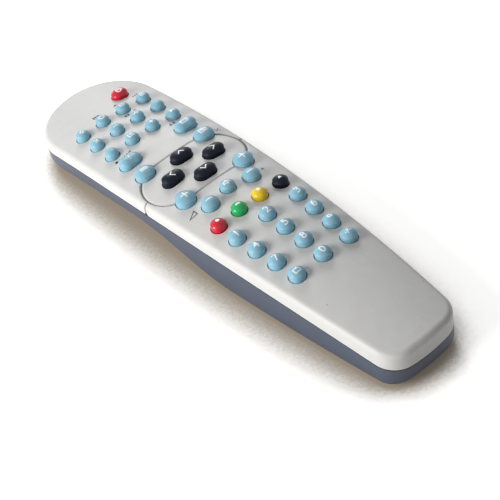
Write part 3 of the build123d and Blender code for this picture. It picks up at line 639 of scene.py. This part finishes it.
def printed(name, layers, surface, body, material):
    """A printed mark: flat layers bent onto a surface, riding on a body."""
    whole = bmesh.new()
    for index, layer in enumerate(layers):
        flat = layer if isinstance(layer, bpy.types.Mesh) else loops_mesh(layer)
        part = bmesh.new()
        part.from_mesh(flat)
        bpy.data.meshes.remove(flat)
        bmesh.ops.remove_doubles(part, verts=part.verts[:], dist=SAME_POINT)
        cut_finely(part)
        bend_skin(part, surface, INK_LIFT + index * LAYER_LIFT)
        mesh = bpy.data.meshes.new(name)
        part.to_mesh(mesh)
        part.free()
        whole.from_mesh(mesh)
        bpy.data.meshes.remove(mesh)
    mesh = bpy.data.meshes.new(name)
    bmesh.ops.scale(whole, vec=(MM, MM, MM), verts=whole.verts[:])
    whole.to_mesh(mesh)
    whole.free()
    mesh.materials.append(material)
    made = bpy.data.objects.new(name, mesh)
    bpy.context.scene.collection.objects.link(made)
    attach(made, body)


def moved(layer, x, y):
    """A mark's layer moved in the plan."""
    if isinstance(layer, bpy.types.Mesh):
        for v in layer.vertices:
            v.co.x += x
            v.co.y += y
        return layer
    return [[(a + x, b + y) for a, b in loop] for loop in layer]


def key_mark(node_name, layers):
    """A mark printed on a key's dome, riding with the key."""
    low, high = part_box(node_name)
    x = (low.x + high.x) / 2 / MM
    y = (low.y + high.y) / 2 / MM
    radius = (high.y - low.y) / 2 / MM
    half = (high.x - low.x) / 2 / MM - radius - KEY_EAR
    dome = (radius ** 2 + KEY_DOME ** 2) / (2 * KEY_DOME)
    top = high.z / MM

    def surface(u, v):
        past = max(abs(u - x) - half, 0)
        return top - dome + sqrt(dome ** 2 - (v - y) ** 2 - past ** 2)
    printed(node_name.replace("key", "mark"), [moved(layer, x, y) for layer in layers], surface,
            node_name, ink_white)


def cover_height(x, y):
    """Height of the covers' top face."""
    rise = ARCH_R - CROWN_R + sqrt(CROWN_R ** 2 - x ** 2)
    return TOP_Z - ARCH_R + sqrt(rise ** 2 - y ** 2)


# The keys' marks, about the middle of each cap
for digit in "0123456789":
    key_mark(f"key_{digit}", [text_mesh(digit, DIGIT)])
for side in ("volume", "program"):
    key_mark(f"key_{side}_up", [plus_loops(0.15, 0.2, 3.9, LINE)])
    key_mark(f"key_{side}_down", [bar(0.1, 0.2, 3.3, LINE)])
CHEVRON = [(-1.45, -0.8), (0, 0.8), (1.45, -0.8)]
for side, turn in (("up", 0), ("left", 90), ("down", 180), ("right", 270)):
    c, s = cos(radians(turn)), sin(radians(turn))
    turned = [(a * c - b * s, a * s + b * c) for a, b in CHEVRON]
    key_mark(f"key_arrow_{side}", [stroke(turned, LINE)])
key_mark("key_red", [disc(0, 0.3, 0.75)])
key_mark("key_green", [bar(0, 0.3, 2.2, 0.6)])
key_mark("key_yellow", [bar(0, 0.3, 1.3, 1.3)])
key_mark("key_blue", [[[(-0.85, -0.45), (0.85, -0.45), (0, 1.0)]]])
key_mark("key_power",
         [stroke(arc_points(0, 0, 1.15, 125, 415), LINE), bar(0, 1.0, 1.3, LINE, 90)])
SPEAKER = [(-1.5, -0.5), (-0.8, -0.5), (0.1, -1.2), (0.1, 1.2), (-0.8, 0.5), (-1.5, 0.5)]
key_mark("key_mute", [stroke(SPEAKER, THIN, closed=True),
                      bar(1.1, 0, 1.9, THIN, 50), bar(1.1, 0, 1.9, THIN, -50)])
key_mark("key_row1_right", [ring_loops(0, 0, 1.2, 0.85), disc(0, 0, 0.4)])
key_mark("key_row1_inner_right", [ring_loops(0, 0, 1.25, 0.9), bar(0, 0, 1.0, THIN)])
key_mark("key_row1_inner_left", [stroke(arc_points(0, 0, 1.1, 60, 360), THIN),
                                 [[(0.6, 0.1), (1.6, 0.1), (1.1, 0.85)]]])
key_mark("key_row1_left", [disc(0.75, 0, 0.42), disc(-0.75, 0, 0.42),
                           disc(0, 0.75, 0.42), disc(0, -0.75, 0.42)])
key_mark("key_row2_inner_right",
         [stroke([(-1.3, -0.3), (-0.5, 0.4), (0.4, -0.3), (1.3, 0.4)], THIN)])
key_mark("key_row2_inner_left", [disc(-1.0, 0, 0.26), disc(0, 0, 0.26), disc(1.0, 0, 0.26)])
key_mark("key_row2_left",
         [stroke([(-0.9, 0.6), (0, -0.4), (0.9, 0.6)], THIN), bar(0, -1.0, 1.8, THIN)])
key_mark("key_row3_right",
         [[[(-0.9, -0.9), (0.8, 0), (-0.9, 0.9)]], bar(1.15, 0, 1.8, THIN, 90)])
key_mark("key_row3_inner_right", [plus_loops(0, 0, 2.0, THIN)])
key_mark("key_row3_inner_left", [frame_loops(0, 0, 2.5, 1.7, THIN), bar(0, 0, 1.1, THIN)])
key_mark("key_wide_right", [frame_loops(0, 0.1, 3.0, 2.0, THIN)])
key_mark("key_broad_right", [frame_loops(0, 0.1, 3.2, 2.3, THIN), bar(0, 0.55, 2.0, THIN),
                             bar(0, -0.35, 2.0, THIN)])
key_mark("key_wide_left", [text_mesh("?", 2.5)])
key_mark("key_broad_left", [bar(0, 0.8, 3.4, THIN), bar(0, 0.1, 3.4, THIN),
                            bar(0, -0.6, 3.4, THIN)])
key_mark("key_screen", [frame_loops(0, -0.3, 2.5, 1.8, THIN), bar(0.75, 1.3, 1.3, THIN, 50)])
key_mark("key_page", [bar(-1.15, 0, 0.8, THIN), bar(-0.2, 0, 2.3, THIN, 65),
                      bar(0.75, 0, 0.6, THIN), bar(1.6, 0, 0.6, THIN)])

# Small black marks on the covers, above or beside the keys that they belong to
BLACK_MARKS = {
    "head": [
        bar(14.9, 80.9, 0.7, 1.1), bar(16.0, 80.9, 0.7, 1.1), bar(17.2, 81.2, 0.8, 1.7),
        [[(4.2, 80.2), (6.9, 80.2), (5.6, 82.0)]],
        bar(-5.9, 81.2, 0.7, 1.7), bar(-4.9, 81.2, 0.7, 1.7),
        [[(-4.2, 80.4), (-2.7, 81.2), (-4.2, 82.0)]],
        bar(3.3, 69.7, 0.9, 1.4), bar(4.6, 69.7, 0.9, 1.4), bar(8.6, 70.6, 1.4, 0.5),
        bar(-17.5, 48.2, 1.2, 1.2), disc(-15.8, 48.2, 0.32), disc(-14.5, 48.3, 0.32),
        disc(-13.2, 48.4, 0.32), disc(-11.9, 48.5, 0.32), bar(-10.4, 48.6, 1.2, 0.6),
        [[(10.3, 48.0), (12.1, 48.0), (11.2, 49.7)]], bar(13.0, 48.7, 0.7, 1.4),
    ],
    "side": [
        stroke([(20.9, 30.3), (22.9, 32.2)], THIN), stroke([(20.9, 32.2), (22.9, 30.3)], THIN),
        bar(20.1, 31.25, 0.6, 1.6),
    ],
    "tail": [
        stroke([(-20.0, -3.1), (-16.3, -3.1), (-16.3, -0.9)], 0.44, closed=True),
        [[(16.0, -3.6), (17.6, -3.6), (16.8, -2.2)]],
    ],
}
for part_name, layers in BLACK_MARKS.items():
    printed(f"cover_marks_{part_name}", layers, cover_height, "case", ink_black)


# Floor, world and lamps
def floor_material():
    """A pale floor that is white to the eye, with a painted shade halo near the object: browner,
    grainier and with less glow where ambient occlusion finds the object. It keeps the object's
    soft shadow, and its glow is painted brighter further from the object."""
    material, tree, shader = new_material("floor")
    place = object_place(tree)
    cloud = noise(tree, place, 9, 2.0)
    pale = mixed(tree, cloud, (0.89, 0.88, 0.865, 1), (0.92, 0.91, 0.895, 1))
    # Painted shade: ambient occlusion makes the floor browner and its glow weaker near the object
    near = add_node(tree, "ShaderNodeAmbientOcclusion", {"Distance": HALO_REACH},
                    samples=HALO_SAMPLES)
    grit = spread(tree, noise(tree, place, 700, 5.0, 0.75), 0.3, 0.7, -HALO_GRIT, HALO_GRIT)
    open_sky = calc(tree, "ADD", near.outputs["AO"], grit)
    dusk = spread(tree, open_sky, *HALO_SKY, 0.0, 1.0)
    tree.links.new(mixed(tree, dusk, PAINTED_SHADE_BROWN, pale), shader.inputs["Base Color"])
    tree.links.new(spread(tree, cloud, 0.3, 0.7, 0.75, 0.85), shader.inputs["Roughness"])
    shader.inputs["Specular IOR Level"].default_value = 0.1
    # Painted light: the glow grows with distance from the object, brightening the far floor
    distance = add_node(tree, "ShaderNodeVectorMath", {0: place}, operation="LENGTH")
    lift = calc(tree, "ADD", spread(tree, open_sky, *GLOW_SKY, *GLOW),
                spread(tree, distance.outputs["Value"], *FAR, 0.0, FAR_GLOW))
    glow = add_node(tree, "ShaderNodeEmission",
                    {"Color": mixed(tree, dusk, PAINTED_SHADE_GLOW, WHITE),
                     "Strength": calc(tree, "MULTIPLY", shown_to_eye(tree), lift)})
    both = add_node(tree, "ShaderNodeAddShader", {0: shader.outputs[0], 1: glow.outputs[0]})
    tree.links.new(both.outputs[0], tree.nodes["Material Output"].inputs["Surface"])
    return material


floor_mesh = bpy.data.meshes.new("floor")
grid = bmesh.new()
bmesh.ops.create_grid(grid, x_segments=4, y_segments=4, size=FLOOR_REACH)
grid.to_mesh(floor_mesh)
grid.free()
floor_mesh.materials.append(floor_material())
floor = bpy.data.objects.new("floor", floor_mesh)
floor.location.z = FLOOR_Z
bpy.context.scene.collection.objects.link(floor)

world = bpy.data.worlds.new("world")
world.use_nodes = True
bpy.context.scene.world = world
world_tree = world.node_tree
background = world_tree.nodes["Background"]
world_tint = mixed(world_tree, shown_to_eye(world_tree), WORLD_FILL, WHITE)
world_tree.links.new(world_tint, background.inputs["Color"])
background.inputs["Strength"].default_value = 1.0


def lamp(name, place, aim, size, power, colour):
    """A square soft lamp looking at a place."""
    data = bpy.data.lights.new(name, "AREA")
    data.shape = "SQUARE"
    data.size = size
    data.energy = power
    data.color = colour
    made = bpy.data.objects.new(name, data)
    bpy.context.scene.collection.objects.link(made)
    made.location = place
    made.rotation_mode = "QUATERNION"
    made.rotation_quaternion = (Vector(aim) - Vector(place)).to_track_quat("-Z", "Y")


lamp("lamp_left", place=(-0.60, 0.11, 0.28), aim=(0, 0, 0.02), size=0.40, power=5.2,
     colour=(1.0, 0.995, 0.98))
lamp("lamp_back", place=(0.30, 0.50, 0.34), aim=(0, 0.04, 0.02), size=0.30, power=1.9,
     colour=(0.99, 1.0, 1.01))
